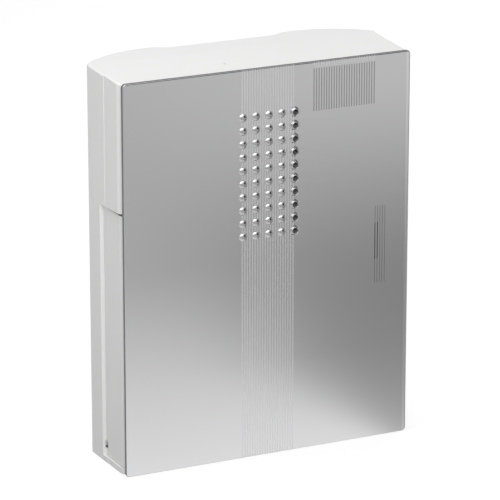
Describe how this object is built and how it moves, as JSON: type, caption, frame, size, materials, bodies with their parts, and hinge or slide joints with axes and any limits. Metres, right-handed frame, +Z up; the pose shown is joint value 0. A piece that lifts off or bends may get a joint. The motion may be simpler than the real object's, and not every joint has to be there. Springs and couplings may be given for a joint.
{
  "type": "doorbell chime box",
  "caption": "White box-shaped battery door chime with a silver front plate, a field of studs and sound holes, a battery cover in its left side and a two-humped back for the wall.",
  "frame": {"origin": "on the flat bottom face, midway between the two sides of the plate and midway between the front plate's face and the wall", "axes": "+X to the right seen from the front, +Y back to the wall, +Z up"},
  "size_m": [0.1446, 0.0547, 0.1834],
  "materials": {
    "silver_plate": "glossy silver lacquer on a moulded plate",
    "white_case": "semi-gloss white moulded plastic",
    "adhesive": "pale foam tape",
    "dust_cloth": "black woven dust cloth",
    "bright_steel": "zinc-plated screws",
    "basket_steel": "pressed zinc-plated steel",
    "magnet": "dark sintered ferrite",
    "cone": "black pressed paper pulp",
    "gasket": "closed-cell foam",
    "board": "green solder mask",
    "terminal_body": "moulded blue plastic",
    "terminal_screw": "plated brass",
    "chip": "black moulded package",
    "capacitor": "dark sleeve over an aluminium can",
    "control_body": "black moulded body",
    "control_grey": "mid-grey moulded plastic",
    "cell_jacket": "plain dark sleeve with a plated cap",
    "contact": "nickel-plated spring steel"
  },
  "bodies": {
    "housing": {"housing": "white_case", "rear_shell": "white_case", "case_screws": "bright_steel", "speaker_basket": "basket_steel", "speaker_magnet": "magnet", "speaker_cone": "cone", "speaker_cap": "cone", "speaker_gasket": "gasket", "speaker_screws": "bright_steel", "circuit_board": "board", "board_screws": "bright_steel", "terminal_block": "terminal_body", "terminal_screws": "terminal_screw", "melody_chip": "chip", "capacitors": "capacitor", "volume_control": "control_body", "melody_switch": "control_body", "cell_outer_lower": "cell_jacket", "cell_outer_upper": "cell_jacket", "cell_inner_lower": "cell_jacket", "cell_inner_upper": "cell_jacket", "end_contacts": "contact", "bridge_contact": "contact"},
    "front_cover": {"front_cover": "white_case", "front_plate": "silver_plate", "plate_adhesive": "adhesive", "dust_cloth": "dust_cloth"},
    "battery_cover": {"battery_cover": "white_case"},
    "volume_wheel": {"volume_wheel": "control_grey"},
    "melody_button": {"melody_button": "control_grey"}
  },
  "joints": [
    {"name": "front_cover_pull", "type": "slide", "parent": "housing", "child": "front_cover", "axis": [0, -1, 0], "range_m": [0, 0.06]},
    {"name": "battery_cover_pull", "type": "slide", "parent": "housing", "child": "battery_cover", "axis": [-1, 0, 0], "range_m": [0, 0.03]},
    {"name": "volume_turn", "type": "hinge", "parent": "housing", "child": "volume_wheel", "pos_m": [0.0639, -0.00145, 0.08], "axis": [0, 1, 0], "range_deg": [-135, 135]},
    {"name": "melody_press", "type": "slide", "parent": "housing", "child": "melody_button", "axis": [-1, 0, 0], "range_m": [0, 0.0008], "stiffness_N_per_m": 800}
  ]
}
